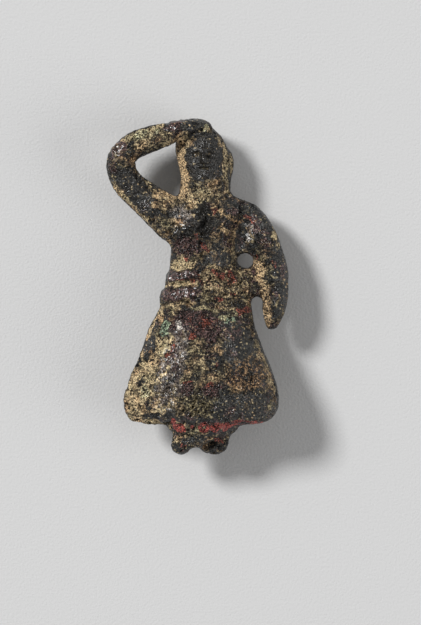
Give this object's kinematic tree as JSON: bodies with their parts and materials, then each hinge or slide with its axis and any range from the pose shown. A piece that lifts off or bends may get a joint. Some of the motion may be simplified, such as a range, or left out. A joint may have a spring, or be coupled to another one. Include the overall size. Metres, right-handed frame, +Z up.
{
  "type": "bronze female figure",
  "caption": "Small solid-cast bronze figure of a woman in a long bell-shaped dress, with a hand on the head and the other arm hanging, lying on its back.",
  "frame": {"origin": "on the surface it lies on, in the middle of the length and the width", "axes": "+Y from the feet to the head, +X towards the hanging arm, +Z up, out of the front of the figure"},
  "size_m": [0.0324, 0.0598, 0.0161],
  "materials": {
    "bronze": "excavated bronze: dark slate and purple-brown patina worn glossy on the high places, tan earth in the pits"
  },
  "bodies": {
    "root": {"figure": "bronze"}
  },
  "joints": []
}
